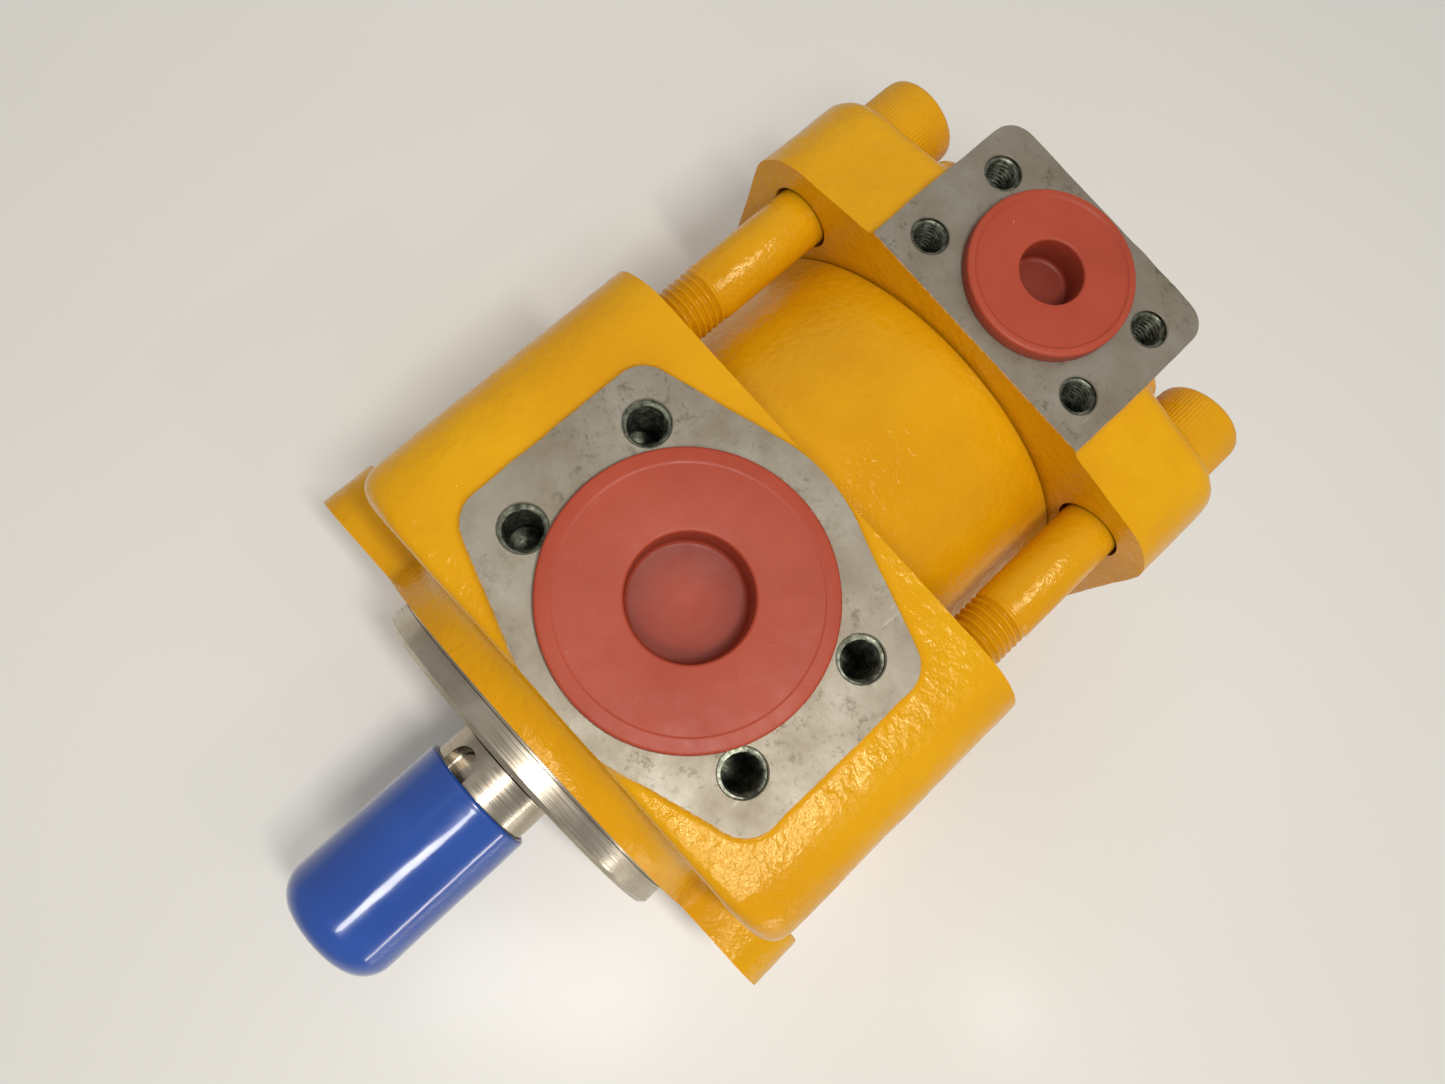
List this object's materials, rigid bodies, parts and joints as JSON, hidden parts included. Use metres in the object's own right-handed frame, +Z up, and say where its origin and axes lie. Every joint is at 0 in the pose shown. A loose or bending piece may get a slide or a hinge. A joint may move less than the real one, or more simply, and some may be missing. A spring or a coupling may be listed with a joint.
{
  "type": "hydraulic motor",
  "caption": "Internal-gear hydraulic motor: flanged block, keyed shaft under a cap, clamped gear housing and plugged ports on top.",
  "frame": {"origin": "centre of the motor's bounding box on the surface it lies on", "axes": "+Y along the shaft axis from the shaft end to the rear cover, +Z up to the port faces"},
  "size_m": [0.174, 0.2622, 0.1341],
  "materials": {
    "yellow_enamel": "gloss enamel over cast iron, machined port faces bare",
    "ground_steel": "turned and ground",
    "gear_steel": "hardened, oiled",
    "bronze": "machined bearing bronze",
    "black_rubber": "moulded nitrile",
    "red_plastic": "soft moulded polyethylene, satin",
    "blue_vinyl": "dip-moulded vinyl, high gloss"
  },
  "bodies": {
    "housing": {"front_body": "yellow_enamel", "gear_housing": "yellow_enamel", "rear_cover": "yellow_enamel", "cap_screw_lower_left": "yellow_enamel", "cap_screw_lower_right": "yellow_enamel", "cap_screw_upper_right": "yellow_enamel", "cap_screw_upper_left": "yellow_enamel", "crescent": "gear_steel", "crescent_pin": "ground_steel", "front_side_plate": "bronze", "rear_side_plate": "bronze", "front_bearing": "bronze", "rear_bearing": "bronze", "shaft_seal": "black_rubber", "seal_retaining_ring": "gear_steel", "front_o_ring": "black_rubber", "rear_o_ring": "black_rubber", "dowel_front_left": "ground_steel", "dowel_front_right": "ground_steel", "dowel_rear_left": "ground_steel", "dowel_rear_right": "ground_steel"},
    "shaft": {"pinion_shaft": "ground_steel"},
    "ring": {"ring_gear": "gear_steel"},
    "cap": {"shaft_cap": "blue_vinyl"},
    "inlet_cover": {"inlet_plug": "red_plastic"},
    "outlet_cover": {"outlet_plug": "red_plastic"}
  },
  "joints": [
    {"name": "shaft_spin", "type": "hinge", "parent": "housing", "child": "shaft", "pos_m": [0, 0, 0.06], "axis": [0, 1, 0], "continuous": true},
    {"name": "ring_gear_spin", "type": "hinge", "parent": "housing", "child": "ring", "pos_m": [0, 0, 0.069], "axis": [0, 1, 0], "continuous": true},
    {"name": "shaft_cap_slide", "type": "slide", "parent": "shaft", "child": "cap", "axis": [0, -1, 0], "range_m": [0, 0.055]},
    {"name": "inlet_plug_slide", "type": "slide", "parent": "housing", "child": "inlet_cover", "axis": [0, 0, 1], "range_m": [0, 0.02]},
    {"name": "outlet_plug_slide", "type": "slide", "parent": "housing", "child": "outlet_cover", "axis": [0, 0, 1], "range_m": [0, 0.018]}
  ],
  "couplings": [
    {"joint": "ring_gear_spin", "follows": "shaft_spin", "ratio": 0.68421}
  ]
}
